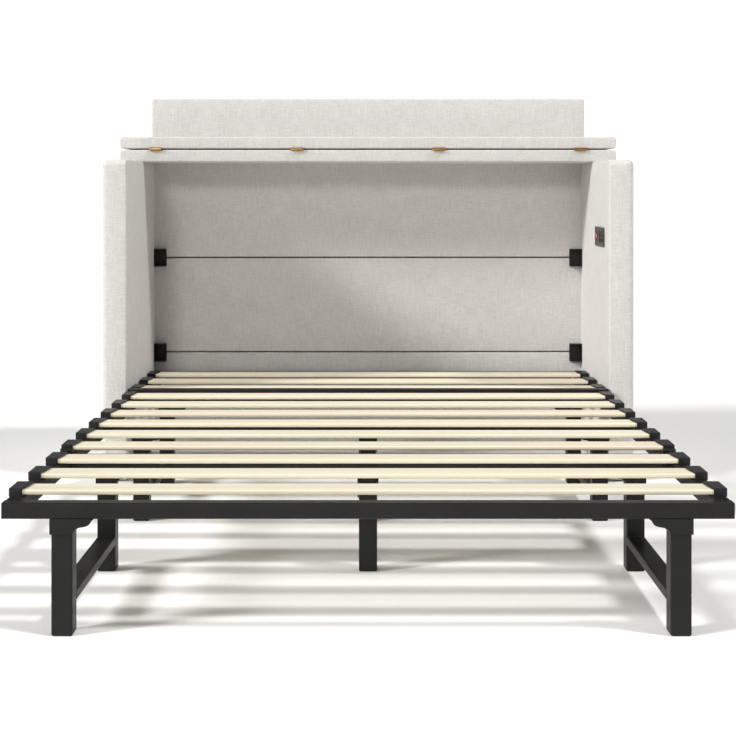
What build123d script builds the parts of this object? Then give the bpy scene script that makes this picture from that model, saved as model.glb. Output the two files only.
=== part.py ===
from build123d import *
import os

os.makedirs("parts", exist_ok=True)

# All sizes are in millimetres.
# X runs across the bed, +Y from the foot to the cabinet, +Z up from the floor.
# The origin is on the floor, at the middle of the whole object.

# Sleeping deck, for a full-size mattress
deck_width = 1372.0
deck_bottom = 220.0
slat_pitch = 152.0
first_holder = 55.0
slats_per_section = 3

# Tubes of the folding frame
rail_width = 32.0
rail_height = 30.0
cross_depth = 30.0
low_bar_height = 20.0
head_bar_height = 48.0
tube_wall = 1.8
tube_corner = 3.0
plug_cap = 2.0
plug_depth = 14.0

# Slats and the caps that hold their ends
slat_width = 61.0
slat_thickness = 9.8
slat_edge = 3.5
holder_depth = 65.0
holder_base = 2.5
holder_lip = 3.8
holder_reach_front = 25.0
holder_reach_rear = 33.0
holder_end_wall = 12.0
holder_edge = 1.5
slat_fit = 0.2

# Fold lines, set back from the slat cap behind each of them
head_fold_setback = 21.0
middle_fold_setback = 67.0
foot_fold_setback = 16.0
fold_gap = 4.0

# Butt hinges of the frame
knuckle_radius = 5.0
knuckle_gap = 0.5
frame_pin_radius = 2.5
pin_clearance = 0.05
leaf_thickness = 2.5
leaf_reach = 14.0
frame_hinge_margin = 2.0
end_play = 0.3
upright_leaf_height = 20.0

# Legs and the brackets that they swing in
post_size = 40.0
post_wall = 2.0
leg_inset_left = 112.5
leg_inset_right = 99.5
stretcher_height = 20.0
stretcher_top = 76.5
foot_cap_height = 6.0
foot_cap_chamfer = 2.5
foot_plug_height = 20.0
bracket_wall = 2.5
bracket_height = 29.0
bracket_fit = 0.5
bracket_lap = 4.0
leg_pin_radius = 4.0
ogee_reach = (3.9, 9.3, 27.5, 31.8, 35.0, 39.8)
ogee_rise = (8.6, 11.8, 16.1, 19.3, 24.7, 29.0)
centre_cheek_left = 58.0
centre_cheek_right = 45.0

# Upholstered panels: a board core in a padded cover
cover_wall = 6.0
side_thickness = 71.0
side_gap = 6.0
side_overhang = 20.0
side_top = 923.5
side_edge = 16.0
glide_height = 4.0
glide_radius = 16.0
glide_inset = 90.0
board_thickness = 36.0
board_depth = 299.5
board_edge = 3.0
board_corner = 9.0
seam_gap = 4.6
flap_rest = 0.5
flap_rear_gap = 4.0
bay_clearance = 24.0
back_thickness = 30.0
back_edge = 3.0
back_void = 40.0
back_bottom = 20.0
back_seam_low = 312.0
back_seam_high = 618.0
back_seam_width = 4.0
rear_thickness = 36.0
rear_lap = 19.0
rear_top = 1137.0
rear_edge = 7.0

# Corner brackets between the back boards and the sides
corner_width = 40.0
corner_height = 56.0
corner_depth = 27.0
corner_wall = 3.0

# Brass hinges of the flap
flap_hinge_count = 4
flap_hinge_spacing = 435.3
flap_hinge_length = 39.0
flap_hinge_taper = 2.0
flap_leaf_reach = 34.0
flap_leaf_gap = 0.6
flap_barrel_radius = 5.2
flap_barrel_clearance = 0.4
flap_pin_radius = 1.8
flap_front_gap = 7.4

# Power outlet in the right side panel
outlet_length = 158.0
outlet_height = 57.0
outlet_plate = 3.0
outlet_setback = 165.0
outlet_centre_z = 697.5
outlet_box_depth = 34.0
outlet_box_wall = 2.5
outlet_rim = 4.0
outlet_corner = 6.0
socket_length = 32.0
socket_height = 36.0
socket_depth = 6.0
socket_wall_gap = 0.5
socket_spacing = 40.0
socket_fit = 0.1
slot_width = 2.4
slot_height = 9.0
slot_spacing = 12.7
usb_width = 12.0
usb_height = 5.0
switch_margin = 29.0
switch_ring_radius = 15.5
switch_ring_height = 1.5
rocker_radius = 10.0
rocker_thickness = 5.0
rocker_clearance = 0.7
rocker_tilt = 7.0
trunnion_radius = 1.5
trunnion_length = 4.0

# Plates and bolts that carry the head section
mount_plate_length = 70.0
mount_plate_height = 26.0
mount_inset = 70.0
bolt_radius = 4.0
bolt_clearance = 0.05
bolt_head_radius = 7.5
bolt_head_height = 5.0
bolt_bite = 30.0

# Worked out from the sizes above
half_deck = deck_width / 2
deck_top = deck_bottom + rail_height
rail_inner = half_deck - rail_width
frame_hinge_length = rail_width - 2 * frame_hinge_margin
holder_height = holder_base + slat_thickness + 2 * slat_fit + holder_lip
pivot_z = deck_top + knuckle_radius + knuckle_gap
section_span = slats_per_section * slat_pitch
foot_fold = first_holder + section_span - foot_fold_setback
middle_fold = first_holder + 2 * section_span - middle_fold_setback
head_fold = first_holder + 3 * section_span - head_fold_setback
half_gap = fold_gap / 2
head_bar_rear = head_fold - knuckle_radius - knuckle_gap - leaf_thickness
folded_depth = middle_fold - foot_fold + (pivot_z - deck_bottom) + post_size
back_front = head_fold + folded_depth + bay_clearance
side_front = head_fold - side_overhang
side_rear = back_front + back_thickness + back_void
overall_depth = side_rear + rear_thickness
bay_half = half_deck + side_gap
cabinet_half = bay_half + side_thickness
board_front = side_rear - board_depth
flap_bottom = side_top + board_thickness + seam_gap
flap_thickness = board_thickness - flap_rest
flap_leaf_thickness = (seam_gap - flap_leaf_gap) / 2
flap_pivot_y = board_front - flap_front_gap / 2
flap_pivot_z = side_top + board_thickness + seam_gap / 2
leg_x = {-1: half_deck - leg_inset_left, 1: half_deck - leg_inset_right}
bracket_depth = post_size + 2 * (bracket_wall + bracket_fit)
leg_pivot_z = deck_bottom - bracket_wall - bracket_fit - post_size / 2
foot_leg_front = bracket_depth / 2
foot_leg_rear = foot_fold - half_gap - bracket_lap - bracket_depth / 2
upper_leg_front = middle_fold + half_gap + cross_depth
upper_leg_rear = head_bar_rear + bracket_lap - bracket_depth / 2
foot_y = -overall_depth / 2


def block(x0, x1, y0, y1, z0, z1):
    # A plain box between two corners, with Y counted from the foot
    with BuildPart() as piece:
        with BuildSketch(Plane.XY.offset(z0)):
            with Locations(((x0 + x1) / 2, (y0 + y1) / 2 + foot_y)):
                Rectangle(abs(x1 - x0), y1 - y0)
        extrude(amount=z1 - z0)
    return piece.part


def rod_x(x0, x1, y, z, radius):
    # A round rod across the bed
    with BuildPart() as piece:
        with BuildSketch(Plane.YZ.offset(x0)):
            with Locations((y + foot_y, z)):
                Circle(radius)
        extrude(amount=x1 - x0)
    return piece.part


def rod_y(y0, y1, x, z, radius):
    # A round rod along the bed
    with BuildPart() as piece:
        with BuildSketch(Plane.XZ.offset(-y0 - foot_y)):
            with Locations((x, z)):
                Circle(radius)
        extrude(amount=-(y1 - y0))
    return piece.part


def tube_x(half_length, y0, z0, depth, height):
    # A rectangular steel tube across the bed
    with BuildPart() as piece:
        with BuildSketch(Plane.YZ.offset(-half_length)):
            with Locations((y0 + depth / 2 + foot_y, z0 + height / 2)):
                RectangleRounded(depth, height, tube_corner)
                Rectangle(depth - 2 * tube_wall, height - 2 * tube_wall, mode=Mode.SUBTRACT)
        extrude(amount=2 * half_length)
    return piece.part


def tube_y(y0, y1, x, z0, width, height, wall):
    # A rectangular steel tube along the bed
    with BuildPart() as piece:
        with BuildSketch(Plane.XZ.offset(-y0 - foot_y)):
            with Locations((x, z0 + height / 2)):
                RectangleRounded(width, height, tube_corner)
                Rectangle(width - 2 * wall, height - 2 * wall, mode=Mode.SUBTRACT)
        extrude(amount=-(y1 - y0))
    return piece.part


def end_plug(side, y0, z0, depth, height):
    # The plastic plug in one end of a tube across the bed
    inner_depth = depth - 2 * tube_wall
    inner_height = height - 2 * tube_wall
    with BuildPart() as piece:
        with BuildSketch(Plane.YZ.offset(side * (half_deck - plug_cap))):
            with Locations((y0 + depth / 2 + foot_y, z0 + height / 2)):
                RectangleRounded(depth, height, tube_corner)
        extrude(amount=side * plug_cap)
        with BuildSketch(Plane.YZ.offset(side * (half_deck - plug_cap))):
            with Locations((y0 + depth / 2 + foot_y, z0 + height / 2)):
                Rectangle(inner_depth, inner_height)
        extrude(amount=-side * plug_depth)
    return piece.part


def plugged_tube(y0, z0, depth, height):
    # A tube over the full width with a plug in each end
    pieces = [tube_x(half_deck - plug_cap, y0, z0, depth, height)]
    for side in (-1, 1):
        pieces.append(end_plug(side, y0, z0, depth, height))
    return pieces


def side_rails(y0, y1):
    # The two side rails of one section
    pieces = []
    for side in (-1, 1):
        x = side * (half_deck - rail_width / 2)
        pieces.append(tube_y(y0, y1, x, deck_bottom, rail_width, rail_height, tube_wall))
    return pieces


def group(pieces):
    # Separate solids that share one node
    solids = []
    for piece in pieces:
        solids.extend(piece.solids())
    return Compound(solids)


def save(piece, name):
    piece.label = name
    export_step(piece, f"parts/{name}.step")


def core_board(panel, edge):
    # The board inside a padded cover, with its edges eased where the cover's are large
    x0, x1, y0, y1, z0, z1 = panel
    wall = cover_wall
    with BuildPart() as piece:
        add(block(x0 + wall, x1 - wall, y0 + wall, y1 - wall, z0 + wall, z1 - wall))
        if edge > wall:
            fillet(piece.edges(), radius=edge - wall)
    return piece.part


def padded_cover(panel, edge, corner):
    # A padded cover, hollow for its board core: corner rounds the edges along Y, edge the rest
    with BuildPart() as piece:
        add(block(*panel))
        fillet(piece.edges().filter_by(Axis.Y), radius=corner)
        ends = piece.faces().filter_by(Axis.Y)
        fillet(ends.edges(), radius=edge)
        add(core_board(panel, edge), mode=Mode.SUBTRACT)
    return piece.part


# Side panels, with bolt holes, and a pocket for the outlet in the right one
outlet_y = side_front + outlet_setback
box_half_length = outlet_length / 2 - outlet_rim
box_half_height = outlet_height / 2 - outlet_rim
first_socket = outlet_box_wall + socket_wall_gap + socket_length / 2 - box_half_length
socket_offsets = (first_socket, first_socket + socket_spacing)
switch_offset = box_half_length - switch_margin
pocket = block(
    bay_half,
    bay_half + outlet_box_depth,
    outlet_y - box_half_length,
    outlet_y + box_half_length,
    outlet_centre_z - box_half_height,
    outlet_centre_z + box_half_height,
)
head_rail_front = head_fold + half_gap
head_rear = back_front - fold_gap
mount_ys = (head_rail_front + mount_inset, head_rear - mount_inset)
bolt_z = deck_bottom + rail_height / 2
bolt_end = bay_half + bolt_bite
side_names = {-1: "left", 1: "right"}

for side in (-1, 1):
    x0 = min(side * bay_half, side * cabinet_half)
    x1 = max(side * bay_half, side * cabinet_half)
    panel = (x0, x1, side_front, side_rear, glide_height, side_top)
    with BuildPart() as side_cover:
        add(padded_cover(panel, side_edge, side_edge))
        for mount_y in mount_ys:
            add(rod_x(side * bay_half, side * bolt_end, mount_y, bolt_z, bolt_radius + bolt_clearance),
                mode=Mode.SUBTRACT)
        if side > 0:
            add(pocket, mode=Mode.SUBTRACT)
    save(side_cover.part, f"side_cover_{side_names[side]}")
    with BuildPart() as side_core:
        add(core_board(panel, side_edge))
        for mount_y in mount_ys:
            add(rod_x(side * bay_half, side * bolt_end, mount_y, bolt_z, bolt_radius + bolt_clearance),
                mode=Mode.SUBTRACT)
        if side > 0:
            add(pocket, mode=Mode.SUBTRACT)
    save(side_core.part, f"side_core_{side_names[side]}")

# Floor glides under the side panels
with BuildPart() as floor_glides:
    with BuildSketch(Plane.XY):
        for side in (-1, 1):
            for glide_y in (side_front + glide_inset, side_rear - glide_inset):
                with Locations((side * (bay_half + cabinet_half) / 2, glide_y + foot_y)):
                    Circle(glide_radius)
    extrude(amount=glide_height)
floor_glides.part.label = "floor_glides"
export_step(floor_glides.part, "parts/floor_glides.step")

# Fixed top board, and the flap that lies on it
top_panel = (-cabinet_half, cabinet_half, board_front, side_rear, side_top, side_top + board_thickness)
save(padded_cover(top_panel, board_edge, board_corner), "top_cover")
save(core_board(top_panel, board_edge), "top_core")
flap_panel = (
    -cabinet_half,
    cabinet_half,
    board_front,
    side_rear - flap_rear_gap,
    flap_bottom,
    flap_bottom + flap_thickness,
)
save(padded_cover(flap_panel, board_edge, board_corner), "flap_cover")
save(core_board(flap_panel, board_edge), "flap_core")

# Rear panel, which stands above the flap as a low headboard
rear_half = bay_half + rear_lap
rear_panel = (-rear_half, rear_half, side_rear, overall_depth, glide_height, rear_top)
save(padded_cover(rear_panel, rear_edge, rear_edge), "rear_cover")
save(core_board(rear_panel, rear_edge), "rear_core")

# Three back boards between the side panels
half_seam = back_seam_width / 2
back_levels = (
    ("lower", back_bottom, back_seam_low - half_seam),
    ("middle", back_seam_low + half_seam, back_seam_high - half_seam),
    ("upper", back_seam_high + half_seam, side_top),
)
back_cores = []
for level, z0, z1 in back_levels:
    panel = (-bay_half, bay_half, back_front, back_front + back_thickness, z0, z1)
    save(padded_cover(panel, back_edge, back_edge), f"back_cover_{level}")
    back_cores.append(core_board(panel, back_edge))
save(group(back_cores), "back_cores")

# Corner brackets at the ends of both seams
corner_brackets = []
for side in (-1, 1):
    for seam_z in (back_seam_low, back_seam_high):
        x_wall = side * bay_half
        x_free = side * (bay_half - corner_width)
        x_inner = side * (bay_half - corner_wall)
        z0 = seam_z - corner_height / 2
        z1 = seam_z + corner_height / 2
        y0 = back_front - corner_depth
        with BuildPart() as corner_bracket:
            add(block(x_wall, x_free, y0, back_front, z0, z1))
            add(block(x_inner, x_free, y0, back_front - corner_wall, z0 + corner_wall, z1 - corner_wall),
                mode=Mode.SUBTRACT)
            outer_corner = corner_bracket.edges().filter_by(Axis.Z).sort_by(Axis.Y)[:2]
            free_corner = outer_corner.sort_by(Axis.X)[0 if side > 0 else -1]
            chamfer(free_corner, length=corner_wall)
        corner_brackets.append(corner_bracket.part)
save(group(corner_brackets), "corner_brackets")

# Outlet box in its pocket
with BuildPart() as outlet_housing:
    add(pocket)
    add(
        block(
            bay_half,
            bay_half + outlet_box_depth - outlet_box_wall,
            outlet_y - box_half_length + outlet_box_wall,
            outlet_y + box_half_length - outlet_box_wall,
            outlet_centre_z - box_half_height + outlet_box_wall,
            outlet_centre_z + box_half_height - outlet_box_wall,
        ),
        mode=Mode.SUBTRACT,
    )
outlet_housing.part.label = "outlet_housing"
export_step(outlet_housing.part, "parts/outlet_housing.step")

# Faceplate with its switch ring, the openings and the seats of the rocker
switch_y = outlet_y + switch_offset
plate_front = bay_half - outlet_plate
rocker_x = plate_front + rocker_thickness / 2 - switch_ring_height
with BuildPart() as outlet_faceplate:
    with BuildSketch(Plane.YZ.offset(bay_half)):
        with Locations((outlet_y + foot_y, outlet_centre_z)):
            RectangleRounded(outlet_length, outlet_height, outlet_corner)
        for offset_y in socket_offsets:
            with Locations((outlet_y + offset_y + foot_y, outlet_centre_z)):
                Rectangle(socket_length, socket_height, mode=Mode.SUBTRACT)
    extrude(amount=-outlet_plate)
    with BuildSketch(Plane.YZ.offset(plate_front - switch_ring_height)):
        with Locations((switch_y + foot_y, outlet_centre_z)):
            Circle(switch_ring_radius)
    extrude(amount=switch_ring_height + outlet_plate + 2 * rocker_thickness)
    with BuildSketch(Plane.YZ.offset(plate_front - switch_ring_height)):
        with Locations((switch_y + foot_y, outlet_centre_z)):
            Circle(rocker_radius + rocker_clearance)
    extrude(amount=switch_ring_height + outlet_plate + 2 * rocker_thickness, mode=Mode.SUBTRACT)
    with BuildSketch(Plane.XY.offset(outlet_centre_z - rocker_radius - trunnion_length)):
        with Locations((rocker_x, switch_y + foot_y)):
            Circle(trunnion_radius + pin_clearance)
    extrude(amount=2 * (rocker_radius + trunnion_length), mode=Mode.SUBTRACT)
outlet_faceplate.part.label = "outlet_faceplate"
export_step(outlet_faceplate.part, "parts/outlet_faceplate.step")

# Socket inserts: two upright slots over a small charging port
outlet_sockets = []
for offset_y in socket_offsets:
    socket_y = outlet_y + offset_y + foot_y
    with BuildPart() as socket:
        with BuildSketch(Plane.YZ.offset(plate_front + outlet_plate / 3)):
            with Locations((socket_y, outlet_centre_z)):
                Rectangle(socket_length - 2 * socket_fit, socket_height - 2 * socket_fit)
        extrude(amount=socket_depth)
        with BuildSketch(Plane.YZ.offset(plate_front + outlet_plate / 3)):
            for slot_side in (-1, 1):
                with Locations((socket_y + slot_side * slot_spacing / 2, outlet_centre_z + slot_height / 2)):
                    Rectangle(slot_width, slot_height)
            with Locations((socket_y, outlet_centre_z - slot_height)):
                Rectangle(usb_width, usb_height)
        extrude(amount=socket_depth / 2, mode=Mode.SUBTRACT)
    outlet_sockets.append(socket.part)
save(group(outlet_sockets), "outlet_sockets")

# Rocker, tilted to its off side, on two trunnions
rocker_plane = Plane(
    origin=(rocker_x, switch_y + foot_y, outlet_centre_z),
    x_dir=(0, 1, 0),
    z_dir=(-1, 0, 0),
).rotated((0, -rocker_tilt, 0))
with BuildPart() as switch_rocker:
    with BuildSketch(rocker_plane.offset(-rocker_thickness / 2)):
        Circle(rocker_radius)
    extrude(amount=rocker_thickness)
    with BuildSketch(Plane.XY.offset(outlet_centre_z - rocker_radius - trunnion_length + rocker_clearance)):
        with Locations((rocker_x, switch_y + foot_y)):
            Circle(trunnion_radius)
    extrude(amount=2 * (rocker_radius + trunnion_length - rocker_clearance))
switch_rocker.part.label = "switch_rocker"
export_step(switch_rocker.part, "parts/switch_rocker.step")


def flap_knuckle(x0, x1, outer_ends):
    # One knuckle of a flap hinge, tapered where it ends the barrel
    with BuildPart() as piece:
        add(rod_x(x0, x1, flap_pivot_y, flap_pivot_z, flap_barrel_radius))
        rims = piece.edges().filter_by(GeomType.CIRCLE).sort_by(Axis.X)
        if x0 in outer_ends:
            chamfer(rims[0], length=flap_hinge_taper)
        if x1 in outer_ends:
            chamfer(rims[-1], length=flap_hinge_taper)
    return piece.part


def flap_leaf(hinge_x, direction, knuckles):
    # One brass leaf in the seam: direction is +1 under the flap and -1 on the top board
    half = flap_hinge_length / 2
    outer_ends = (hinge_x - half, hinge_x + half)
    face_z = flap_pivot_z + direction * seam_gap / 2
    inner_z = face_z - direction * flap_leaf_thickness
    z0 = min(face_z, inner_z)
    z1 = max(face_z, inner_z)
    plate_y = flap_pivot_y + flap_barrel_radius + flap_barrel_clearance
    with BuildPart() as piece:
        add(block(hinge_x - half, hinge_x + half, plate_y, flap_pivot_y + flap_leaf_reach, z0, z1))
        for start, end in knuckles:
            add(flap_knuckle(hinge_x + start, hinge_x + end, outer_ends))
            add(block(hinge_x + start, hinge_x + end, flap_pivot_y, plate_y, z0, z1))
        add(rod_x(hinge_x - half, hinge_x + half, flap_pivot_y, flap_pivot_z,
                  flap_pin_radius + pin_clearance), mode=Mode.SUBTRACT)
    return piece.part


def split_knuckles(length):
    # Two outer knuckles for the fixed leaf, one middle knuckle for the moving leaf
    half = length / 2
    third = length / 6
    fixed = ((-half, -third), (third, half))
    moving = ((-third + end_play, third - end_play),)
    return fixed, moving


# Flap hinges along the front seam
fixed_knuckles, moving_knuckles = split_knuckles(flap_hinge_length)
flap_hinge_xs = []
for index in range(flap_hinge_count):
    flap_hinge_xs.append((index - (flap_hinge_count - 1) / 2) * flap_hinge_spacing)
save(group([flap_leaf(x, -1, fixed_knuckles) for x in flap_hinge_xs]), "flap_hinge_fixed")
save(group([flap_leaf(x, 1, moving_knuckles) for x in flap_hinge_xs]), "flap_hinge_moving")
flap_pin_half = flap_hinge_length / 2
flap_pins = []
for x in flap_hinge_xs:
    flap_pins.append(rod_x(x - flap_pin_half, x + flap_pin_half, flap_pivot_y, flap_pivot_z, flap_pin_radius))
save(group(flap_pins), "flap_hinge_pins")

# Tubes of the four sections
foot_end = foot_fold - half_gap
foot_tubes = plugged_tube(0, deck_bottom, cross_depth, rail_height)
foot_tubes += plugged_tube(foot_end - cross_depth, deck_bottom, cross_depth, rail_height)
foot_tubes += side_rails(cross_depth, foot_end - cross_depth)
save(group(foot_tubes), "foot_tubes")

middle_start = foot_fold + half_gap
middle_end = middle_fold - half_gap
middle_tubes = plugged_tube(middle_end - cross_depth, deck_bottom, cross_depth, rail_height)
middle_tubes += side_rails(middle_start, middle_end - cross_depth)
middle_tubes.append(tube_x(rail_inner, middle_start, deck_bottom, cross_depth, low_bar_height))
save(group(middle_tubes), "middle_tubes")

upper_start = middle_fold + half_gap
upper_tubes = plugged_tube(upper_start, deck_bottom, cross_depth, rail_height)
upper_tubes += plugged_tube(head_bar_rear - cross_depth, deck_bottom, cross_depth, head_bar_height)
upper_tubes += side_rails(upper_start + cross_depth, head_bar_rear - cross_depth)
save(group(upper_tubes), "upper_tubes")

head_tubes = plugged_tube(head_rear - cross_depth, deck_bottom, cross_depth, rail_height)
head_tubes.append(tube_x(rail_inner, head_rail_front, deck_bottom, cross_depth, rail_height))
for head_rail in side_rails(head_rail_front, head_rear - cross_depth):
    with BuildPart() as drilled_rail:
        add(head_rail)
        for mount_y in mount_ys:
            add(rod_x(-half_deck, half_deck, mount_y, bolt_z, bolt_radius + bolt_clearance),
                mode=Mode.SUBTRACT)
    head_tubes.append(drilled_rail.part)
save(group(head_tubes), "head_tubes")

# Plates and bolts that carry the head section on the side panels
frame_mounts = []
for side in (-1, 1):
    for mount_y in mount_ys:
        with BuildPart() as mount_plate:
            add(
                block(
                    side * half_deck,
                    side * bay_half,
                    mount_y - mount_plate_length / 2,
                    mount_y + mount_plate_length / 2,
                    bolt_z - mount_plate_height / 2,
                    bolt_z + mount_plate_height / 2,
                )
            )
            add(rod_x(side * half_deck, side * bay_half, mount_y, bolt_z, bolt_radius + bolt_clearance),
                mode=Mode.SUBTRACT)
        frame_mounts.append(mount_plate.part)
        with BuildPart() as bolt:
            with BuildSketch(Plane.YZ.offset(side * rail_inner)):
                with Locations((mount_y + foot_y, bolt_z)):
                    RegularPolygon(bolt_head_radius, 6)
            extrude(amount=-side * bolt_head_height)
            add(rod_x(side * rail_inner, side * bolt_end, mount_y, bolt_z, bolt_radius))
        frame_mounts.append(bolt.part)
save(group(frame_mounts), "frame_mounts")


def slat_holder(side, y0):
    # One end cap on the rail: an outer wall, a base, and a lip with a curved inner edge
    outer = side * half_deck
    y_front = y0 + foot_y
    y_rear = y_front + holder_depth
    x_front = outer - side * holder_reach_front
    x_rear = outer - side * holder_reach_rear
    x_middle = outer - side * (holder_reach_front + 3 * holder_reach_rear) / 4
    slot_half = slat_width / 2 + slat_fit
    middle_y = y0 + holder_depth / 2
    slot_top = deck_top + holder_base + slat_thickness + 2 * slat_fit
    with BuildPart() as piece:
        with BuildSketch(Plane.XY.offset(deck_top)):
            with BuildLine():
                Line((outer, y_front), (x_front, y_front))
                ThreePointArc((x_front, y_front), (x_middle, (y_front + y_rear) / 2), (x_rear, y_rear))
                Line((x_rear, y_rear), (outer, y_rear))
                Line((outer, y_rear), (outer, y_front))
            make_face()
        extrude(amount=holder_height)
        fillet(piece.faces().sort_by(Axis.Z)[-1].edges(), radius=holder_edge)
        slot_outer = outer - side * holder_end_wall
        slot_inner = outer - side * (holder_reach_rear + holder_end_wall)
        add(
            block(
                slot_outer,
                slot_inner,
                middle_y - slot_half,
                middle_y + slot_half,
                deck_top + holder_base,
                slot_top,
            ),
            mode=Mode.SUBTRACT,
        )
    return piece.part


def slat(y0):
    # One flat slat with softly rounded long edges
    middle_y = y0 + holder_depth / 2
    slat_half = half_deck - holder_end_wall - slat_fit
    bottom = deck_top + holder_base + slat_fit
    with BuildPart() as piece:
        with BuildSketch(Plane.YZ.offset(-slat_half)):
            with Locations((middle_y + foot_y, bottom + slat_thickness / 2)):
                RectangleRounded(slat_width, slat_thickness, slat_edge)
        extrude(amount=2 * slat_half)
    return piece.part


# Slats and their caps, three to a section, counted from the foot
section_names = ("foot", "middle", "upper", "head")
for section, section_name in enumerate(section_names):
    holders = []
    for place in range(slats_per_section):
        number = section * slats_per_section + place
        holder_y = first_holder + number * slat_pitch
        save(slat(holder_y), f"slat_{number + 1:02d}")
        for side in (-1, 1):
            holders.append(slat_holder(side, holder_y))
    save(group(holders), f"{section_name}_slat_holders")


def frame_leaf(side, fold_y, direction, knuckles, upright):
    # One steel leaf: direction is +1 toward the cabinet and -1 toward the foot
    x_middle = side * (half_deck - rail_width / 2)
    half = frame_hinge_length / 2
    plate_start = knuckle_radius + knuckle_gap
    with BuildPart() as piece:
        if upright:
            y_near = fold_y + direction * plate_start
            y_far = y_near + direction * leaf_thickness
            z0 = pivot_z + knuckle_radius - upright_leaf_height
            z1 = pivot_z + knuckle_radius
            tab_low = pivot_z - knuckle_radius / 2
            tab_high = pivot_z + knuckle_radius / 2
        else:
            y_near = fold_y + direction * plate_start
            y_far = fold_y + direction * leaf_reach
            z0 = deck_top
            z1 = deck_top + leaf_thickness
            tab_low = z0
            tab_high = z1
        tab_near = fold_y + direction * half_gap
        add(block(x_middle - half, x_middle + half, min(y_near, y_far), max(y_near, y_far), z0, z1))
        for start, end in knuckles:
            add(rod_x(x_middle + start, x_middle + end, fold_y, pivot_z, knuckle_radius))
            add(block(x_middle + start, x_middle + end, min(tab_near, y_near), max(tab_near, y_near),
                      tab_low, tab_high))
        add(rod_x(x_middle - half, x_middle + half, fold_y, pivot_z, frame_pin_radius + pin_clearance),
            mode=Mode.SUBTRACT)
    return piece.part


def frame_leaves(fold_y, direction, knuckles, upright=False):
    # The same leaf on both rails
    return [frame_leaf(side, fold_y, direction, knuckles, upright) for side in (-1, 1)]


def frame_pins(fold_y):
    # The hinge pins of one fold line
    pins = []
    for side in (-1, 1):
        x_middle = side * (half_deck - rail_width / 2)
        x0 = x_middle - frame_hinge_length / 2
        pins.append(rod_x(x0, x0 + frame_hinge_length, fold_y, pivot_z, frame_pin_radius))
    return pins


# Frame hinges on the three fold lines
fixed_knuckles, moving_knuckles = split_knuckles(frame_hinge_length)
head_leaves = frame_leaves(head_fold, 1, fixed_knuckles)
upper_leaves = frame_leaves(head_fold, -1, moving_knuckles, upright=True)
upper_leaves += frame_leaves(middle_fold, 1, fixed_knuckles)
middle_leaves = frame_leaves(middle_fold, -1, moving_knuckles)
middle_leaves += frame_leaves(foot_fold, 1, fixed_knuckles)
foot_leaves = frame_leaves(foot_fold, -1, moving_knuckles)
save(group(head_leaves), "head_hinge_leaves")
save(group(upper_leaves), "upper_hinge_leaves")
save(group(middle_leaves), "middle_hinge_leaves")
save(group(foot_leaves), "foot_hinge_leaves")
save(group(frame_pins(head_fold)), "head_hinge_pins")
save(group(frame_pins(foot_fold)), "foot_hinge_pins")


def leg_bracket(side, centre_y):
    # A folded steel shoe under the frame: outer wall, roof and two cheeks with an ogee edge
    outer_x = side * (leg_x[side] + post_size / 2 + bracket_wall)
    inner_start = bracket_wall + post_size + bracket_fit
    floor_z = deck_bottom - bracket_height
    y0 = centre_y - bracket_depth / 2
    ogee = []
    for reach, rise in zip(ogee_reach, ogee_rise):
        ogee.append((outer_x - side * (inner_start + reach), floor_z + rise))
    with BuildPart() as piece:
        with BuildSketch(Plane.XZ.offset(-y0 - foot_y)):
            with BuildLine():
                Polyline((outer_x, deck_bottom), (outer_x, floor_z),
                         (outer_x - side * inner_start, floor_z), ogee[0])
                Spline(*ogee)
                Line(ogee[-1], (outer_x, deck_bottom))
            make_face()
        extrude(amount=-bracket_depth)
        add(
            block(
                outer_x - side * (bracket_wall - bracket_fit),
                outer_x - side * (inner_start + ogee_reach[-1]),
                y0 + bracket_wall,
                y0 + bracket_depth - bracket_wall,
                floor_z,
                deck_bottom - bracket_wall,
            ),
            mode=Mode.SUBTRACT,
        )
        add(rod_y(y0, y0 + bracket_depth, side * leg_x[side], leg_pivot_z, leg_pin_radius + pin_clearance),
            mode=Mode.SUBTRACT)
    return piece.part


def centre_bracket(centre_y, back):
    # The centre leg's shoe: back is the side, +1 or -1 along Y, that its leg leans against
    half = post_size / 2 + bracket_fit
    outer = half + bracket_wall
    y0 = centre_y - outer
    y1 = centre_y + outer
    back_y = centre_y + back * half
    back_outer = centre_y + back * outer
    with BuildPart() as piece:
        add(block(-outer, outer, y0, y1, deck_bottom - bracket_wall, deck_bottom))
        add(block(-outer, -half, y0, y1, deck_bottom - centre_cheek_left, deck_bottom))
        add(block(half, outer, y0, y1, deck_bottom - centre_cheek_right, deck_bottom))
        add(block(-outer, outer, min(back_y, back_outer), max(back_y, back_outer),
                  deck_bottom - bracket_height, deck_bottom))
        add(rod_x(-outer, outer, centre_y, leg_pivot_z, leg_pin_radius + pin_clearance),
            mode=Mode.SUBTRACT)
    return piece.part


def leg_pins(centre_y):
    # The pivot pins of both side legs in one row
    pins = []
    y0 = centre_y - bracket_depth / 2
    for side in (-1, 1):
        pins.append(rod_y(y0, y0 + bracket_depth, side * leg_x[side], leg_pivot_z, leg_pin_radius))
    return pins


def centre_pin(centre_y):
    # The pivot pin of a centre leg
    outer = post_size / 2 + bracket_fit + bracket_wall
    return rod_x(-outer, outer, centre_y, leg_pivot_z, leg_pin_radius)


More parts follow.
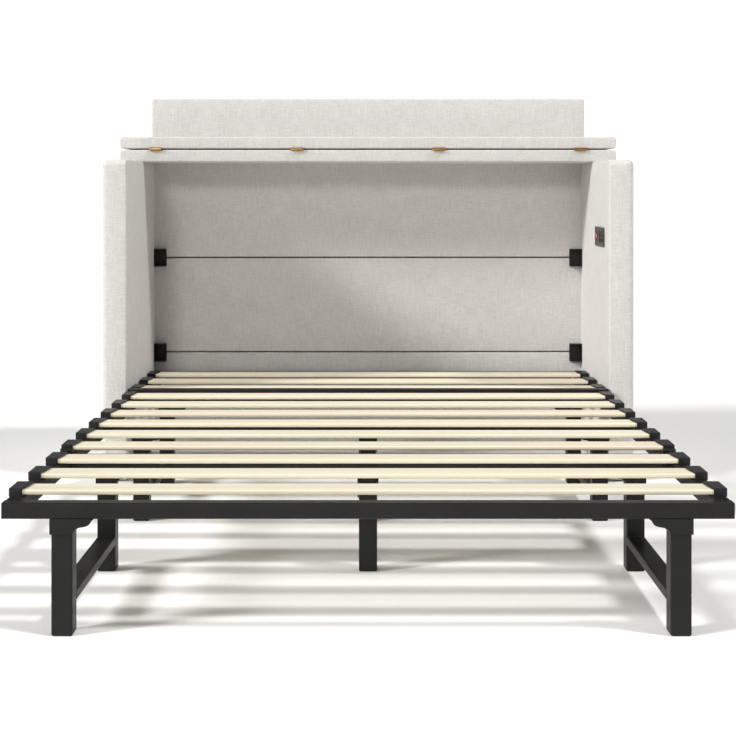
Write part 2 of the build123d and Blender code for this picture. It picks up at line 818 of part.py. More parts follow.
def post(x, centre_y, turn):
    # A square tube, round over its pivot: turn is "y" for side legs and "x" for centre legs
    half = post_size / 2
    inner = post_size - 2 * post_wall
    y0 = centre_y - half
    with BuildPart() as piece:
        if turn == "y":
            with BuildSketch(Plane.XZ.offset(-y0 - foot_y)):
                with Locations((x, (foot_cap_height + leg_pivot_z) / 2)):
                    Rectangle(post_size, leg_pivot_z - foot_cap_height)
                with Locations((x, leg_pivot_z)):
                    Circle(half)
            extrude(amount=-post_size)
            add(rod_y(y0, y0 + post_size, x, leg_pivot_z, leg_pin_radius + pin_clearance),
                mode=Mode.SUBTRACT)
        else:
            with BuildSketch(Plane.YZ.offset(x - half)):
                with Locations((centre_y + foot_y, (foot_cap_height + leg_pivot_z) / 2)):
                    Rectangle(post_size, leg_pivot_z - foot_cap_height)
                with Locations((centre_y + foot_y, leg_pivot_z)):
                    Circle(half)
            extrude(amount=post_size)
            add(rod_x(x - half, x + half, centre_y, leg_pivot_z, leg_pin_radius + pin_clearance),
                mode=Mode.SUBTRACT)
        with BuildSketch(Plane.XY.offset(foot_cap_height)):
            with Locations((x, centre_y + foot_y)):
                Rectangle(inner, inner)
        extrude(amount=leg_pivot_z, mode=Mode.SUBTRACT)
        uprights = piece.edges().filter_by(Axis.Z).group_by(Axis.X)
        fillet(uprights[0] + uprights[-1], radius=tube_corner)
    return piece.part


def foot_cap(x, centre_y):
    # A plastic foot with a plug that sits in the post
    plug = post_size - 2 * post_wall
    with BuildPart() as piece:
        with BuildSketch():
            with Locations((x, centre_y + foot_y)):
                RectangleRounded(post_size, post_size, tube_corner)
        extrude(amount=foot_cap_height)
        chamfer(piece.faces().sort_by(Axis.Z)[0].edges(), length=foot_cap_chamfer)
        with BuildSketch(Plane.XY.offset(foot_cap_height)):
            with Locations((x, centre_y + foot_y)):
                Rectangle(plug, plug)
        extrude(amount=foot_plug_height)
    return piece.part


def leg_frame(side, front_y, rear_y):
    # Two posts, their feet and the stretcher between them
    x = side * leg_x[side]
    half = post_size / 2
    pieces = [post(x, front_y, "y"), post(x, rear_y, "y"), foot_cap(x, front_y), foot_cap(x, rear_y)]
    pieces.append(
        tube_y(front_y + half, rear_y - half, x, stretcher_top - stretcher_height,
               post_size, stretcher_height, post_wall)
    )
    return group(pieces)


# Leg brackets, legs and pins of the foot section
foot_brackets = []
upper_brackets = []
for side in (-1, 1):
    foot_brackets.append(leg_bracket(side, foot_leg_front))
    foot_brackets.append(leg_bracket(side, foot_leg_rear))
    upper_brackets.append(leg_bracket(side, upper_leg_front))
    upper_brackets.append(leg_bracket(side, upper_leg_rear))
    save(leg_frame(side, foot_leg_front, foot_leg_rear), f"foot_leg_frame_{side_names[side]}")
    save(leg_frame(side, upper_leg_front, upper_leg_rear), f"upper_leg_frame_{side_names[side]}")
foot_brackets.append(centre_bracket(foot_leg_rear, 1))
upper_brackets.append(centre_bracket(upper_leg_front, -1))
save(group(foot_brackets), "foot_leg_brackets")
save(group(upper_brackets), "upper_leg_brackets")
save(group([post(0, foot_leg_rear, "x"), foot_cap(0, foot_leg_rear)]), "foot_centre_leg")
save(group([post(0, upper_leg_front, "x"), foot_cap(0, upper_leg_front)]), "upper_centre_leg")

foot_leg_pins = leg_pins(foot_leg_front) + leg_pins(foot_leg_rear) + [centre_pin(foot_leg_rear)]
save(group(foot_leg_pins), "foot_leg_pins")
upper_pins = leg_pins(upper_leg_front) + leg_pins(upper_leg_rear) + [centre_pin(upper_leg_front)]
save(group(upper_pins + frame_pins(middle_fold)), "upper_pins")
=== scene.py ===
import math

import bmesh
import bpy
from mathutils import Matrix, Vector


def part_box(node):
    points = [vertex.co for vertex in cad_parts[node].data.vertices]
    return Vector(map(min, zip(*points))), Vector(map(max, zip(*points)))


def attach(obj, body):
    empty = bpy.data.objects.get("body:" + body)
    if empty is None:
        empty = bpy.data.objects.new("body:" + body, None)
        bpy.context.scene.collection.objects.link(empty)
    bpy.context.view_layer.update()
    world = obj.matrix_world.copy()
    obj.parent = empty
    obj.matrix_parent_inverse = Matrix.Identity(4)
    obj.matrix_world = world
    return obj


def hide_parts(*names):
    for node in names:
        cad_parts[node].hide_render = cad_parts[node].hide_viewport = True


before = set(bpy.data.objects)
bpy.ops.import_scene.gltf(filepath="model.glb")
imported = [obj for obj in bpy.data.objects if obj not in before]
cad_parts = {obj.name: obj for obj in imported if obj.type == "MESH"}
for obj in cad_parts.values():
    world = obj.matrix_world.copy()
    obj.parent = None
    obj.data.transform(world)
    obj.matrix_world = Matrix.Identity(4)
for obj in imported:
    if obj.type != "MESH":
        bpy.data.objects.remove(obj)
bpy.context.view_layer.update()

scene = bpy.context.scene
print("frame loaded:", len(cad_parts), "nodes")

# Camera: level, low and square to the foot end, framed with a vertical shift
cameraView = {
    "across": 0.0,
    "back": -3.60725,
    "height": 0.8345,
    "lens": 68.04,
    "sensor": 36.0,
    "shiftX": 0.0,
    "shiftY": -0.241,
}


def addCamera(values):
    data = bpy.data.cameras.new("photoCamera")
    data.lens = values["lens"]
    data.sensor_width = values["sensor"]
    data.shift_x = values["shiftX"]
    data.shift_y = values["shiftY"]
    data.clip_start = 0.05
    data.clip_end = 60.0
    camera = bpy.data.objects.new("photoCamera", data)
    camera.location = (values["across"], values["back"], values["height"])
    camera.rotation_euler = (math.radians(90), 0.0, 0.0)
    scene.collection.objects.link(camera)
    scene.camera = camera


addCamera(cameraView)
print("camera placed")


# Small helpers for node trees
def newMaterial(name):
    material = bpy.data.materials.new(name)
    material.use_nodes = True
    tree = material.node_tree
    return material, tree, tree.nodes["Principled BSDF"]


def addNode(tree, kind, values=None, inputs=None):
    node = tree.nodes.new(kind)
    for key, value in (values or {}).items():
        setattr(node, key, value)
    for key, value in (inputs or {}).items():
        socket = node.inputs[key]
        if isinstance(value, bpy.types.NodeSocket):
            tree.links.new(value, socket)
        else:
            socket.default_value = value
    return node


def mathNode(tree, operation, a, b=None):
    node = tree.nodes.new("ShaderNodeMath")
    node.operation = operation
    for socket, value in zip(node.inputs, (a, b)):
        if isinstance(value, bpy.types.NodeSocket):
            tree.links.new(value, socket)
        elif value is not None:
            socket.default_value = value
    return node.outputs[0]


def stretchedNoise(tree, vector, scale, detail=2.0, roughness=0.5):
    mapping = addNode(tree, "ShaderNodeMapping", {"vector_type": "POINT"},
                      {"Vector": vector, "Scale": scale})
    noise = addNode(
        tree,
        "ShaderNodeTexNoise",
        {"noise_dimensions": "3D"},
        {"Vector": mapping.outputs["Vector"], "Scale": 1.0, "Detail": detail, "Roughness": roughness},
    )
    return noise.outputs["Fac"]


def mixColour(tree, factor, first, second):
    node = tree.nodes.new("ShaderNodeMix")
    node.data_type = "RGBA"
    node.clamp_factor = True
    for index, value in ((0, factor), (6, first), (7, second)):
        if isinstance(value, bpy.types.NodeSocket):
            tree.links.new(value, node.inputs[index])
        else:
            node.inputs[index].default_value = value
    return node.outputs[2]


def spread(tree, value, low, high, newLow=0.0, newHigh=1.0):
    node = addNode(
        tree,
        "ShaderNodeMapRange",
        {"clamp": True},
        {"Value": value, "From Min": low, "From Max": high, "To Min": newLow, "To Max": newHigh},
    )
    return node.outputs["Result"]


def makeGroup(name, inputs, outputs):
    group = bpy.data.node_groups.new(name, "ShaderNodeTree")
    for label, kind, value in inputs:
        socket = group.interface.new_socket(name=label, in_out="INPUT", socket_type=kind)
        if value is not None:
            socket.default_value = value
    for label, kind in outputs:
        group.interface.new_socket(name=label, in_out="OUTPUT", socket_type=kind)
    start = group.nodes.new("NodeGroupInput")
    end = group.nodes.new("NodeGroupOutput")
    return group, start, end


# Linen: plain weave with uneven slub threads in both directions
linenThreads = {
    "slubAcross": {"scale": (360.0, 17.0, 1.0), "detail": 3.0, "roughness": 0.65},
    "slubAlong": {"scale": (24.0, 360.0, 1.0), "detail": 3.0, "roughness": 0.65},
    "fineAcross": {"scale": (900.0, 110.0, 1.0), "detail": 2.0, "roughness": 0.6},
    "fineAlong": {"scale": (110.0, 900.0, 1.0), "detail": 2.0, "roughness": 0.6},
    "mottle": {"scale": (14.0, 14.0, 1.0), "detail": 3.0, "roughness": 0.55},
}
linenMix = {
    "mottle": 0.3,
    "tone": (1.55, 2.75),  # range of the summed threads that becomes 0 to 1
    "crossing": 0.25,
    "level": 0.5,
    "threadHeight": 0.55,
    "nap": (0.7, 1.3),
}


def makeLinenGroup():
    group, start, end = makeGroup(
        "slubWeave",
        [
            ("Vector", "NodeSocketVector", None),
            ("Pitch", "NodeSocketFloat", 0.0016),
            ("Slub", "NodeSocketFloat", 1.0),
        ],
        [("Tone", "NodeSocketFloat"), ("Height", "NodeSocketFloat"), ("Nap", "NodeSocketFloat")],
    )
    vector = start.outputs["Vector"]
    slubAcross = stretchedNoise(group, vector, **linenThreads["slubAcross"])
    slubAlong = stretchedNoise(group, vector, **linenThreads["slubAlong"])
    fineAcross = stretchedNoise(group, vector, **linenThreads["fineAcross"])
    fineAlong = stretchedNoise(group, vector, **linenThreads["fineAlong"])
    mottle = stretchedNoise(group, vector, **linenThreads["mottle"])
    slubs = mathNode(group, "ADD", slubAcross, slubAlong)
    fine = mathNode(group, "ADD", fineAcross, fineAlong)
    mixed = mathNode(group, "ADD", mathNode(group, "MULTIPLY", slubs, start.outputs["Slub"]), fine)
    tone = mathNode(group, "ADD", mixed, mathNode(group, "MULTIPLY", mottle, linenMix["mottle"]))
    group.links.new(spread(group, tone, *linenMix["tone"]), end.inputs["Tone"])
    parts = addNode(group, "ShaderNodeSeparateXYZ", None, {"Vector": vector})
    turns = mathNode(group, "DIVIDE", 2 * math.pi, start.outputs["Pitch"])
    waves = []
    for label in ("X", "Y"):
        angle = mathNode(group, "MULTIPLY", parts.outputs[label], turns)
        waves.append(mathNode(group, "SINE", angle))
    crossing = mathNode(group, "MULTIPLY", waves[0], waves[1])
    weave = mathNode(group, "MULTIPLY_ADD", crossing, linenMix["crossing"])
    weave.node.inputs[2].default_value = linenMix["level"]
    height = mathNode(group, "ADD", weave, mathNode(group, "MULTIPLY", mixed, linenMix["threadHeight"]))
    group.links.new(height, end.inputs["Height"])
    group.links.new(spread(group, fine, *linenMix["nap"]), end.inputs["Nap"])
    return group


# Fine unevenness of a painted, plated or moulded face
surfaceNoise = {
    "fine": {"Detail": 2.0, "Roughness": 0.6},
    "wide": {"Detail": 4.0, "Roughness": 0.6},
    "dust": {"Scale": 130.0, "Detail": 3.0, "Roughness": 0.65},
}
surfaceRange = {"patch": (0.32, 0.68), "dust": (0.55, 0.8)}


def makeSurfaceGroup():
    group, start, end = makeGroup(
        "surfaceVariation",
        [
            ("Vector", "NodeSocketVector", None),
            ("Grain", "NodeSocketFloat", 900.0),
            ("Patches", "NodeSocketFloat", 9.0),
        ],
        [("Patch", "NodeSocketFloat"), ("Height", "NodeSocketFloat"), ("Dust", "NodeSocketFloat")],
    )
    vector = start.outputs["Vector"]
    fine = addNode(group, "ShaderNodeTexNoise", None,
                   {"Vector": vector, "Scale": start.outputs["Grain"], **surfaceNoise["fine"]})
    wide = addNode(group, "ShaderNodeTexNoise", None,
                   {"Vector": vector, "Scale": start.outputs["Patches"], **surfaceNoise["wide"]})
    dust = addNode(group, "ShaderNodeTexNoise", None, {"Vector": vector, **surfaceNoise["dust"]})
    group.links.new(spread(group, wide.outputs["Fac"], *surfaceRange["patch"]), end.inputs["Patch"])
    group.links.new(fine.outputs["Fac"], end.inputs["Height"])
    group.links.new(spread(group, dust.outputs["Fac"], *surfaceRange["dust"]), end.inputs["Dust"])
    return group


linenGroup = makeLinenGroup()
surfaceGroup = makeSurfaceGroup()


def placeGroup(tree, group, vector, values):
    node = tree.nodes.new("ShaderNodeGroup")
    node.node_tree = group
    tree.links.new(vector, node.inputs["Vector"])
    for key, value in values.items():
        node.inputs[key].default_value = value
    return node


def addBump(tree, shader, height, strength, distance):
    bump = addNode(tree, "ShaderNodeBump", None, {"Height": height, "Strength": strength, "Distance": distance})
    tree.links.new(bump.outputs["Normal"], shader.inputs["Normal"])
    return bump


linenLook = {
    "light": (0.765, 0.75, 0.73, 1.0),
    "dark": (0.445, 0.43, 0.405, 1.0),
    "pitch": 0.0016,
    "slub": 1.0,
    "rough": (0.84, 0.98),
    "sheen": 0.35,
    "sheenRough": 0.5,
    "specular": 0.2,
    "bump": 0.5,
    "depth": 0.0006,
}


def makeLinen(look):
    material, tree, shader = newMaterial("oatmealLinen")
    place = addNode(tree, "ShaderNodeUVMap", {"uv_map": "weave"})
    weave = placeGroup(tree, linenGroup, place.outputs["UV"],
                       {"Pitch": look["pitch"], "Slub": look["slub"]})
    tone = mixColour(tree, weave.outputs["Tone"], look["dark"], look["light"])
    tree.links.new(tone, shader.inputs["Base Color"])
    tree.links.new(spread(tree, weave.outputs["Nap"], 0.0, 1.0, *look["rough"]), shader.inputs["Roughness"])
    shader.inputs["Sheen Weight"].default_value = look["sheen"]
    shader.inputs["Sheen Roughness"].default_value = look["sheenRough"]
    shader.inputs["Specular IOR Level"].default_value = look["specular"]
    addBump(tree, shader, weave.outputs["Height"], look["bump"], look["depth"])
    return material


paintLooks = {
    "blackSteel": {
        "slot": "black_steel",
        "dark": (0.0100, 0.0100, 0.0100, 1.0), "light": (0.0137, 0.0136, 0.0134, 1.0),
        "rough": (0.40, 0.52), "metal": 0.0, "specular": 0.2,
        "grain": 1500.0, "bump": 0.12, "depth": 0.0003,
    },
    "zincSteel": {
        "slot": "bright_steel",
        "dark": (0.48, 0.47, 0.44, 1.0), "light": (0.66, 0.65, 0.62, 1.0),
        "rough": (0.26, 0.42), "metal": 1.0, "specular": 0.5,
        "grain": 700.0, "bump": 0.1, "depth": 0.0002,
    },
    "blackPlastic": {
        "slot": "black_plastic",
        "dark": (0.0115, 0.0115, 0.0118, 1.0), "light": (0.0165, 0.0165, 0.0168, 1.0),
        "rough": (0.38, 0.55), "metal": 0.0, "specular": 0.3,
        "grain": 2600.0, "bump": 0.2, "depth": 0.0002,
    },
    "outletPlastic": {
        "slot": "outlet_plate",
        "dark": (0.018, 0.018, 0.018, 1.0), "light": (0.028, 0.027, 0.027, 1.0),
        "rough": (0.30, 0.42), "metal": 0.0, "specular": 0.5,
        "grain": 3200.0, "bump": 0.15, "depth": 0.0001,
    },
    "agedBrass": {
        "slot": "brass",
        "dark": (0.30, 0.16, 0.060, 1.0), "light": (0.56, 0.34, 0.145, 1.0),
        "rough": (0.28, 0.46), "metal": 1.0, "specular": 0.5,
        "grain": 1200.0, "bump": 0.1, "depth": 0.0002,
    },
}


def makePainted(name, look):
    material, tree, shader = newMaterial(name)
    place = addNode(tree, "ShaderNodeTexCoord")
    effect = placeGroup(tree, surfaceGroup, place.outputs["Object"], {"Grain": look["grain"]})
    tint = mixColour(tree, effect.outputs["Patch"], look["dark"], look["light"])
    tree.links.new(tint, shader.inputs["Base Color"])
    low, high = look["rough"]
    tree.links.new(spread(tree, effect.outputs["Dust"], 0.0, 1.0, low, high), shader.inputs["Roughness"])
    shader.inputs["Metallic"].default_value = look["metal"]
    shader.inputs["Specular IOR Level"].default_value = look["specular"]
    addBump(tree, shader, effect.outputs["Height"], look["bump"], look["depth"])
    return material


birchLook = {
    "pale": (0.83, 0.77, 0.63, 1.0),
    "warm": (0.77, 0.68, 0.50, 1.0),
    "line": (0.66, 0.54, 0.36, 1.0),
    "edge": (0.74, 0.65, 0.45, 1.0),
    "slatStart": 1.0,  # added to y, so that the count starts near the foot end
    "slatStep": 0.152,
    "top": 0.2605,
    "ply": 0.0016,
    "plyShare": 0.35,
    "edgeShare": 0.2,
    "lineShare": 0.45,
    "slatShare": 0.35,
    "rough": (0.42, 0.6),
    "coat": 0.15,
    "coatRough": 0.35,
    "bump": 0.25,
    "depth": 0.0003,
}
birchGrain = {
    "fibre": {"scale": (7.0, 420.0, 420.0), "detail": 4.0, "roughness": 0.6},
    "figure": {"scale": (1.6, 38.0, 38.0), "detail": 3.0, "roughness": 0.55},
    "pores": {"scale": (28.0, 1400.0, 1400.0), "detail": 2.0, "roughness": 0.5},
}


def makeBirch(look):
    material, tree, shader = newMaterial("birchPly")
    place = addNode(tree, "ShaderNodeTexCoord").outputs["Object"]
    parts = addNode(tree, "ShaderNodeSeparateXYZ", None, {"Vector": place})
    along = mathNode(tree, "ADD", parts.outputs["Y"], look["slatStart"])
    slatIndex = mathNode(tree, "FLOOR", mathNode(tree, "DIVIDE", along, look["slatStep"]))
    own = addNode(tree, "ShaderNodeTexWhiteNoise", {"noise_dimensions": "1D"}, {"W": slatIndex})
    shifted = addNode(tree, "ShaderNodeVectorMath", {"operation": "ADD"}, {0: place, 1: own.outputs["Color"]})
    grain = {}
    for name, values in birchGrain.items():
        grain[name] = stretchedNoise(tree, shifted.outputs["Vector"], **values)
    base = mixColour(tree, spread(tree, grain["figure"], 0.35, 0.7), look["pale"], look["warm"])
    lineMask = spread(tree, grain["fibre"], 0.5, 0.85, 0.0, look["lineShare"])
    toned = mixColour(tree, lineMask, base, look["line"])
    plies = mathNode(tree, "PINGPONG", parts.outputs["Z"], look["ply"])
    plyMask = mathNode(tree, "MULTIPLY", mathNode(tree, "DIVIDE", plies, look["ply"]), look["plyShare"])
    below = mathNode(tree, "LESS_THAN", parts.outputs["Z"], look["top"])
    edgeMask = mathNode(tree, "MULTIPLY", below, mathNode(tree, "ADD", plyMask, look["edgeShare"]))
    edged = mixColour(tree, edgeMask, toned, look["edge"])
    slatMask = spread(tree, own.outputs["Value"], 0.0, 1.0, 0.0, look["slatShare"])
    tree.links.new(mixColour(tree, slatMask, edged, look["warm"]), shader.inputs["Base Color"])
    tree.links.new(spread(tree, grain["fibre"], 0.3, 0.8, *look["rough"]), shader.inputs["Roughness"])
    shader.inputs["Coat Weight"].default_value = look["coat"]
    shader.inputs["Coat Roughness"].default_value = look["coatRough"]
    relief = mathNode(tree, "ADD", grain["fibre"], grain["pores"])
    addBump(tree, shader, relief, look["bump"], look["depth"])
    return material


boardLook = {
    "pale": (0.50, 0.38, 0.24, 1.0),
    "dark": (0.36, 0.26, 0.16, 1.0),
    "chips": 260.0,
    "rough": 0.85,
    "bump": 0.3,
    "depth": 0.0005,
}


def makeBoard(look):
    material, tree, shader = newMaterial("particleBoard")
    place = addNode(tree, "ShaderNodeTexCoord").outputs["Object"]
    chips = addNode(tree, "ShaderNodeTexVoronoi", None, {"Vector": place, "Scale": look["chips"]})
    tone = mixColour(tree, chips.outputs["Distance"], look["dark"], look["pale"])
    tree.links.new(tone, shader.inputs["Base Color"])
    shader.inputs["Roughness"].default_value = look["rough"]
    addBump(tree, shader, chips.outputs["Distance"], look["bump"], look["depth"])
    return material


glowLook = {
    "core": (0.85, 0.06, 0.07, 1.0),
    "rim": (0.35, 0.01, 0.015, 1.0),
    "glow": 0.6,
    "grain": 2200.0,
    "patches": 60.0,
    "rough": (0.12, 0.22),
    "bump": 0.08,
    "depth": 0.0002,
}


def makeGlow(look):
    material, tree, shader = newMaterial("redRocker")
    place = addNode(tree, "ShaderNodeTexCoord").outputs["Object"]
    effect = placeGroup(tree, surfaceGroup, place, {"Grain": look["grain"], "Patches": look["patches"]})
    tint = mixColour(tree, effect.outputs["Patch"], look["rim"], look["core"])
    tree.links.new(tint, shader.inputs["Base Color"])
    tree.links.new(tint, shader.inputs["Emission Color"])
    tree.links.new(spread(tree, effect.outputs["Dust"], 0.0, 1.0, *look["rough"]), shader.inputs["Roughness"])
    shader.inputs["Emission Strength"].default_value = look["glow"]
    addBump(tree, shader, effect.outputs["Height"], look["bump"], look["depth"])
    return material


finishes = {"linen": makeLinen(linenLook), "birch": makeBirch(birchLook), "board": makeBoard(boardLook),
            "red_plastic": makeGlow(glowLook)}
for finishName, finishLook in paintLooks.items():
    finishes[finishLook["slot"]] = makePainted(finishName, finishLook)

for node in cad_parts.values():
    for index, given in enumerate(node.data.materials):
        node.data.materials[index] = finishes[given.name.split(".")[0]]
print("finishes made:", ", ".join(sorted(finishes)))


# Boards wrapped in thin foam and linen
padding = {
    "spacing": 0.024,  # grid of the cover
    "segments": 8,
    "innerSegments": 4,
    "overEdge": 0.586,  # keeps the threads running over a rounded edge
    "pressure": 4.0,
    "bulge": 0.0022,  # most that a face may swell
    "frames": 20,
}
clothFeel = {
    "quality": 5,
    "mass": 0.3,
    "tension_stiffness": 15.0,
    "compression_stiffness": 15.0,
    "shear_stiffness": 5.0,
    "bending_stiffness": 0.5,
}
outletCut = {"gap": 0.0006, "skin": 0.001, "around": 0.02}
sideBoard = {"body": "cabinet", "edge": 0.016, "innerEdge": 0.004, "corner": 0.0165, "thin": 0}
topBoard = {"edge": 0.0035, "corner": 0.009, "thin": 2, "run": 1}
rearBoard = {"body": "cabinet", "edge": 0.005, "corner": 0.007, "thin": 1}
backBoard = {"body": "cabinet", "edge": 0.004, "corner": 0.006, "thin": 1}
coveredBoards = {
    "sideLinenLeft": {"node": "side_cover_left", "inner": 1, **sideBoard},
    "sideLinenRight": {"node": "side_cover_right", "inner": -1, **sideBoard},
    "topLinen": {"node": "top_cover", "body": "cabinet", **topBoard},
    "flapLinen": {"node": "flap_cover", "body": "flap", "bulge": 0.0003, **topBoard},
    "rearLinen": {"node": "rear_cover", **rearBoard},
    "backLinenLower": {"node": "back_cover_lower", **backBoard},
    "backLinenMiddle": {"node": "back_cover_middle", **backBoard},
    "backLinenUpper": {"node": "back_cover_upper", **backBoard},
}


def boxMesh(lo, hi):
    mesh = bmesh.new()
    size = [high - low for low, high in zip(lo, hi)]
    middle = [(low + high) / 2 for low, high in zip(lo, hi)]
    bmesh.ops.create_cube(mesh, size=1.0, matrix=Matrix.Translation(middle) @ Matrix.Diagonal((*size, 1.0)))
    return mesh


def cutAt(mesh, axis, place):
    normal = [0.0, 0.0, 0.0]
    normal[axis] = 1.0
    point = [0.0, 0.0, 0.0]
    point[axis] = place
    bmesh.ops.bisect_plane(mesh, geom=mesh.verts[:] + mesh.edges[:] + mesh.faces[:], dist=1e-6,
                           plane_co=point, plane_no=normal)


def alongAxis(edge, axis):
    line = (edge.verts[1].co - edge.verts[0].co).normalized()
    return abs(line[axis]) > 0.99


def softenBoard(mesh, values):
    run = values.get("run", values["thin"])
    corners = [edge for edge in mesh.edges if alongAxis(edge, run)]
    bmesh.ops.bevel(mesh, geom=corners, offset=values["corner"], segments=padding["segments"], profile=0.5,
                    affect="EDGES", material=-1, clamp_overlap=True)
    mesh.normal_update()
    rims = {1: [], -1: []}
    for edge in mesh.edges:
        ends = [face for face in edge.link_faces if abs(face.normal[run]) > 0.99]
        if len(ends) == 1:
            rims[1 if ends[0].normal[run] > 0 else -1].append(edge)
    for side, edges in rims.items():
        inner = side == values.get("inner")
        bmesh.ops.bevel(mesh, geom=edges, offset=values["innerEdge"] if inner else values["edge"],
                        segments=padding["innerSegments" if inner else "segments"], profile=0.5,
                        affect="EDGES", material=-1, clamp_overlap=True)


def weaveMap(mesh, lo, hi, values):
    layer = mesh.loops.layers.uv.new("weave")
    width = hi[0] - lo[0]
    depth = hi[1] - lo[1]
    edges = {1: values["edge"], -1: values["edge"]}
    if "inner" in values:
        edges[values["inner"]] = values["innerEdge"]
    for face in mesh.faces:
        normal = face.normal
        axis = max(range(3), key=lambda k: abs(normal[k]))
        turn = padding["overEdge"] * edges[1 if normal[axis] > 0 else -1]
        for loop in face.loops:
            x, y, z = loop.vert.co
            if axis == 2:
                over = (y - lo[1] - turn) * (1 if normal[2] > 0 else -1)
                u, v = x - lo[0], (hi[2] if normal[2] > 0 else lo[2]) + over
            elif axis == 1:
                u = x - lo[0] if normal[1] < 0 else 2 * width + depth - 2 * turn - (x - lo[0])
                v = z
            else:
                u = width + y - lo[1] - turn if normal[0] > 0 else turn - (y - lo[1])
                v = z
            loop[layer].uv = (u, v)


def outletPocket(mesh, lo):
    pocketLo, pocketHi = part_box("outlet_housing")
    gap = outletCut["gap"]
    low = [pocketLo[1] - gap, pocketLo[2] - gap]
    high = [pocketHi[1] + gap, pocketHi[2] + gap]
    for axis in (1, 2):
        cutAt(mesh, axis, low[axis - 1])
        cutAt(mesh, axis, high[axis - 1])
    floor = []
    for face in mesh.faces:
        middle = face.calc_center_median()
        inside = low[0] < middle.y < high[0] and low[1] < middle.z < high[1]
        if inside and abs(middle.x - lo[0]) < outletCut["skin"]:
            floor.append(face)
    pushed = bmesh.ops.extrude_face_region(mesh, geom=floor)
    moved = [item for item in pushed["geom"] if isinstance(item, bmesh.types.BMVert)]
    bmesh.ops.translate(mesh, verts=moved, vec=(pocketHi[0] - pocketLo[0] + gap, 0.0, 0.0))
    bmesh.ops.delete(mesh, geom=[face for face in floor if face.is_valid], context="FACES_ONLY")
    return low, high


def addObject(name, mesh, material, smooth=True):
    data = bpy.data.meshes.new(name)
    mesh.to_mesh(data)
    mesh.free()
    data.materials.append(material)
    if smooth:
        data.polygons.foreach_set("use_smooth", [True] * len(data.polygons))
    item = bpy.data.objects.new(name, data)
    scene.collection.objects.link(item)
    return item


def settle(item, held, thin, bulge):
    rest = [vert.co.copy() for vert in item.data.vertices]
    group = item.vertex_groups.new(name="held")
    group.add(held, 1.0, "REPLACE")
    cloth = item.modifiers.new("settle", "CLOTH")
    for key, value in clothFeel.items():
        setattr(cloth.settings, key, value)
    cloth.settings.use_pressure = True
    cloth.settings.uniform_pressure_force = padding["pressure"]
    cloth.settings.vertex_group_mass = "held"
    cloth.settings.effector_weights.gravity = 0.0
    cloth.point_cache.frame_start = 1
    cloth.point_cache.frame_end = padding["frames"]
    for step in range(1, padding["frames"] + 1):
        scene.frame_set(step)
    shown = item.evaluated_get(bpy.context.evaluated_depsgraph_get())
    swollen = [vert.co[thin] for vert in shown.data.vertices]
    item.modifiers.remove(cloth)
    item.vertex_groups.clear()
    scene.frame_set(1)
    most = 0.0
    for vert, start, now in zip(item.data.vertices, rest, swollen):
        move = now - start[thin]
        most = max(most, abs(move))
        vert.co = start
        vert.co[thin] = start[thin] + bulge * math.tanh(move / bulge)
    print("  swell before the cap:", round(most * 1000, 2), "mm")


def makeCoveredBoard(name, values):
    lo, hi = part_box(values["node"])
    thin = values["thin"]
    mesh = boxMesh(lo, hi)
    softenBoard(mesh, values)
    for axis in range(3):
        if axis == thin:
            continue
        count = max(2, round((hi[axis] - lo[axis]) / padding["spacing"]))
        for step in range(1, count):
            cutAt(mesh, axis, lo[axis] + (hi[axis] - lo[axis]) * step / count)
    pocket = outletPocket(mesh, lo) if values["node"] == "side_cover_right" else None
    mesh.normal_update()
    weaveMap(mesh, lo, hi, values)
    held = []
    for index, vert in enumerate(mesh.verts):
        onFace = min(vert.co[thin] - lo[thin], hi[thin] - vert.co[thin]) < 1e-5
        margins = [min(vert.co[k] - lo[k], hi[k] - vert.co[k]) for k in range(3) if k != thin]
        around = outletCut["around"]
        atPocket = pocket and all(
            pocket[0][k] - around < vert.co[k + 1] < pocket[1][k] + around for k in range(2)
        )
        if not onFace or min(margins) < values["edge"] + 1e-5 or atPocket:
            held.append(index)
    item = addObject(name, mesh, finishes["linen"])
    settle(item, held, thin, values.get("bulge", padding["bulge"]))
    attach(item, values["body"])
    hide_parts(values["node"])
    return item


for boardName, boardValues in coveredBoards.items():
    print("cover:", boardName)
    makeCoveredBoard(boardName, boardValues)
print("linen covers made:", len(coveredBoards))


# Weld beads where the stretchers meet the posts
weldBead = {
    "radius": 0.0021,
    "length": 0.036,
    "rings": 18,
    "ripple": 0.16,
    "dip": 0.4,
    "beat": 3,  # rings from one lump to the next
    "end": 0.5,
    "sides": 10,
}
legFrames = {
    "footWeldsLeft": {"node": "foot_leg_frame_left", "body": "foot_legs_left"},
    "footWeldsRight": {"node": "foot_leg_frame_right", "body": "foot_legs_right"},
    "upperWeldsLeft": {"node": "upper_leg_frame_left", "body": "upper_legs_left"},
    "upperWeldsRight": {"node": "upper_leg_frame_right", "body": "upper_legs_right"},
}
stretcher = {"bottom": 0.0565, "top": 0.0765, "post": 0.040}


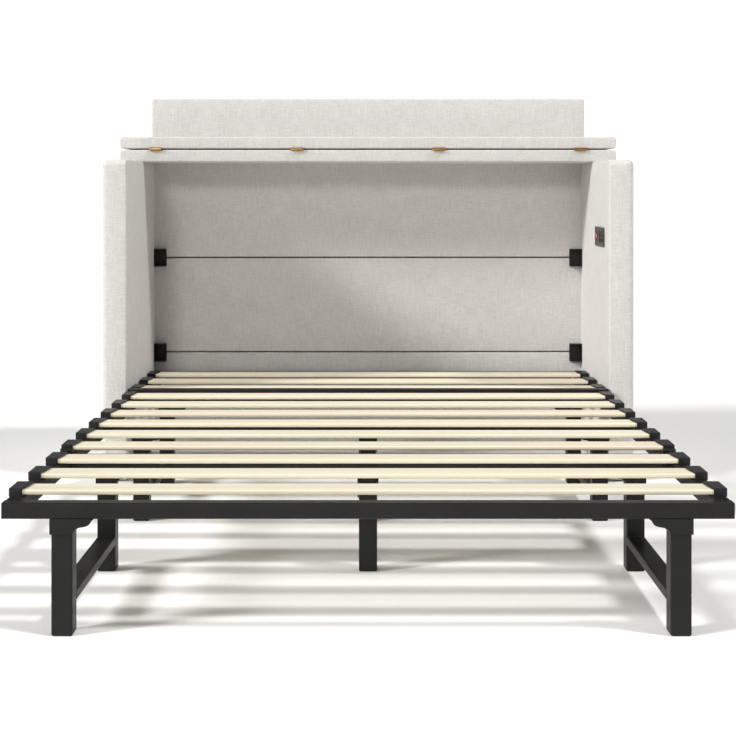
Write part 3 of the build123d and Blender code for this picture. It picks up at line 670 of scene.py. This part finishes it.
def layBead(mesh, place, values):
    # A lumpy rod along X, pulled ring by ring from a circle
    made = bmesh.ops.create_circle(mesh, cap_ends=True, segments=values["sides"],
                                   radius=values["radius"] * values["end"])
    ring = made["verts"]
    bmesh.ops.rotate(mesh, verts=ring, cent=(0, 0, 0), matrix=Matrix.Rotation(math.pi / 2, 3, "Y"))
    bmesh.ops.translate(mesh, verts=ring, vec=Vector(place) - Vector((values["length"] / 2, 0, 0)))
    edges = list({edge for vert in ring for edge in vert.link_edges})
    size = values["end"]
    for step in range(1, values["rings"] + 1):
        made = bmesh.ops.extrude_edge_only(mesh, edges=edges)["geom"]
        ring = [item for item in made if isinstance(item, bmesh.types.BMVert)]
        edges = [item for item in made if isinstance(item, bmesh.types.BMEdge)]
        lump = 1 if step % values["beat"] == 1 else -values["dip"]
        wanted = values["end"] if step == values["rings"] else 1 + values["ripple"] * lump
        for vert in ring:
            vert.co.x += values["length"] / values["rings"]
            vert.co.y = place[1] + (vert.co.y - place[1]) * wanted / size
            vert.co.z = place[2] + (vert.co.z - place[2]) * wanted / size
        size = wanted
    bmesh.ops.edgeloop_fill(mesh, edges=edges)


def makeWelds(name, values):
    lo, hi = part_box(values["node"])
    mesh = bmesh.new()
    middle = (lo[0] + hi[0]) / 2
    for y in (lo[1] + stretcher["post"], hi[1] - stretcher["post"]):
        for z in (stretcher["bottom"], stretcher["top"]):
            layBead(mesh, (middle, y, z), weldBead)
    bmesh.ops.recalc_face_normals(mesh, faces=mesh.faces[:])
    item = addObject(name, mesh, finishes["black_steel"])
    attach(item, values["body"])


for weldName, weldValues in legFrames.items():
    makeWelds(weldName, weldValues)
print("weld beads laid:", len(legFrames))


# Floor, backdrop and soft studio light
studio = {
    "floor": (0.93, 0.93, 0.92, 1.0),
    "floorPatch": (0.9, 0.9, 0.89, 1.0),
    "floorRough": 0.85,
    "floorSize": 14.0,
    "floorDrop": 0.0005,
    "sky": (1.0, 1.0, 1.0, 1.0),
    "skyStrength": 0.25,
    "backdropStrength": 1.05,
}
lamps = {  # azimuth 0 is from the foot end and 90 from the right
    "topLamp": {
        "azimuth": 66.0, "elevation": 56.0, "strength": 1.75, "softness": 7.0,
        "colour": (1.0, 0.99, 0.975),
    },
    "frontLamp": {
        "azimuth": -8.0, "elevation": 19.0, "strength": 0.62, "softness": 9.0,
        "colour": (1.0, 0.99, 0.975),
    },
    "leftLamp": {
        "azimuth": -66.0, "elevation": 30.0, "strength": 3.05, "softness": 11.0,
        "colour": (1.0, 0.995, 0.985),
    },
}


def addStudio():
    world = bpy.data.worlds.new("studioSky")
    world.use_nodes = True
    tree = world.node_tree
    background = tree.nodes["Background"]
    background.inputs["Color"].default_value = studio["sky"]
    seen = addNode(tree, "ShaderNodeLightPath").outputs["Is Camera Ray"]
    strength = spread(tree, seen, 0.0, 1.0, studio["skyStrength"], studio["backdropStrength"])
    tree.links.new(strength, background.inputs["Strength"])
    scene.world = world
    floor = bmesh.new()
    bmesh.ops.create_grid(floor, x_segments=2, y_segments=2, size=studio["floorSize"])
    bmesh.ops.translate(floor, verts=floor.verts[:], vec=(0.0, 0.0, -studio["floorDrop"]))
    material, tree, shader = newMaterial("paleFloor")
    place = addNode(tree, "ShaderNodeTexCoord").outputs["Object"]
    tone = stretchedNoise(tree, place, (3.0, 3.0, 3.0), 3.0, 0.5)
    tree.links.new(mixColour(tree, spread(tree, tone, 0.3, 0.7, 0.0, 0.1), studio["floor"],
                             studio["floorPatch"]), shader.inputs["Base Color"])
    shader.inputs["Roughness"].default_value = studio["floorRough"]
    addObject("studioFloor", floor, material, False)
    for name, values in lamps.items():
        data = bpy.data.lights.new(name, "SUN")
        data.energy = values["strength"]
        data.angle = math.radians(values["softness"])
        data.color = values["colour"]
        lamp = bpy.data.objects.new(name, data)
        turn, lift = math.radians(values["azimuth"]), math.radians(values["elevation"])
        source = Vector((math.sin(turn) * math.cos(lift), -math.cos(turn) * math.cos(lift), math.sin(lift)))
        lamp.location = source * 6
        lamp.rotation_euler = (-source).to_track_quat("-Z", "Y").to_euler()
        scene.collection.objects.link(lamp)
    scene.view_settings.view_transform = "Standard"
    scene.view_settings.look = "None"


addStudio()
print("studio lit")

bpy.context.view_layer.update()
